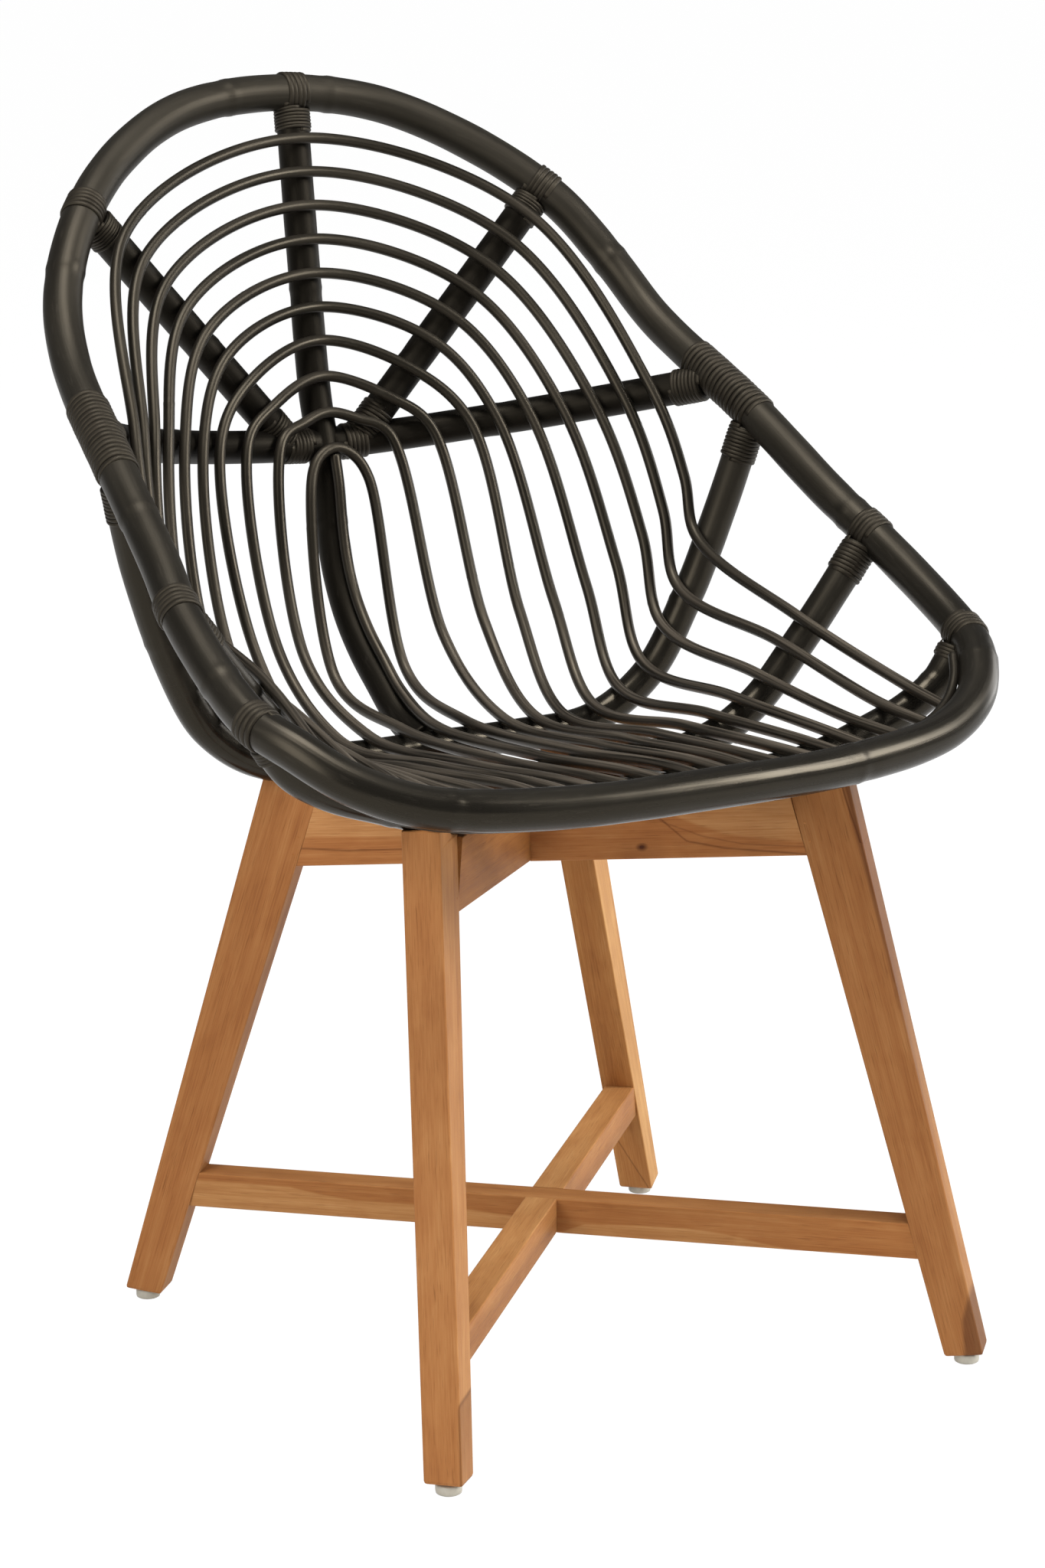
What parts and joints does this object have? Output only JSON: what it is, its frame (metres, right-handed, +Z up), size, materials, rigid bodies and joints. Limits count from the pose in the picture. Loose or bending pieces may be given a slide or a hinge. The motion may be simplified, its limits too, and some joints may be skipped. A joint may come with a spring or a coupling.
{
  "type": "rattan bucket chair",
  "caption": "Round bucket chair: dark rattan poles and curved cores bound to a closed rim, on splayed teak legs joined by crossed rails and stretchers.",
  "frame": {"origin": "on the floor below the middle of the bounding box", "axes": "+Z up, seat opens towards -Y, +X to the right of someone who looks at the front"},
  "size_m": [0.6034, 0.6404, 0.8888],
  "materials": {
    "rattan": "black-stained rattan, satin",
    "cane_binding": "black-stained split cane, satin",
    "teak": "oiled teak, matt to satin",
    "glide": "off-white plastic",
    "screw": "zinc-plated steel"
  },
  "bodies": {
    "root": {"arm_spoke_left": "rattan", "arm_spoke_right": "rattan", "back_spine": "rattan", "binding_arm_left": "cane_binding", "binding_arm_right": "cane_binding", "binding_diagonal_left": "cane_binding", "binding_diagonal_right": "cane_binding", "binding_front_left": "cane_binding", "binding_front_right": "cane_binding", "binding_hub_left": "cane_binding", "binding_hub_right": "cane_binding", "binding_middle_left": "cane_binding", "binding_middle_right": "cane_binding", "binding_top": "cane_binding", "centre_core": "rattan", "diagonal_spoke_left": "rattan", "diagonal_spoke_right": "rattan", "floor_glide_front_left": "glide", "floor_glide_front_right": "glide", "floor_glide_rear_left": "glide", "floor_glide_rear_right": "glide", "front_rib": "rattan", "hairpin_core_01": "rattan", "hairpin_core_02": "rattan", "hairpin_core_03": "rattan", "hairpin_core_04": "rattan", "hairpin_core_05": "rattan", "hairpin_core_06": "rattan", "hairpin_core_07": "rattan", "hairpin_core_08": "rattan", "hairpin_core_09": "rattan", "hairpin_core_10": "rattan", "leg_front_left": "teak", "leg_front_right": "teak", "leg_rear_left": "teak", "leg_rear_right": "teak", "lower_trim_rod": "rattan", "middle_rib": "rattan", "rail_pin_front_left_lower": "teak", "rail_pin_front_left_upper": "teak", "rail_pin_front_right_lower": "teak", "rail_pin_front_right_upper": "teak", "rail_pin_rear_left_lower": "teak", "rail_pin_rear_left_upper": "teak", "rail_pin_rear_right_lower": "teak", "rail_pin_rear_right_upper": "teak", "rear_rib": "rattan", "rib_screw_front_left": "screw", "rib_screw_front_right": "screw", "rib_screw_rear_left": "screw", "rib_screw_rear_right": "screw", "rim_pole": "rattan", "stretcher_over": "teak", "stretcher_under": "teak", "top_rail_over": "teak", "top_rail_under": "teak", "upper_trim_rod": "rattan"}
  },
  "joints": []
}
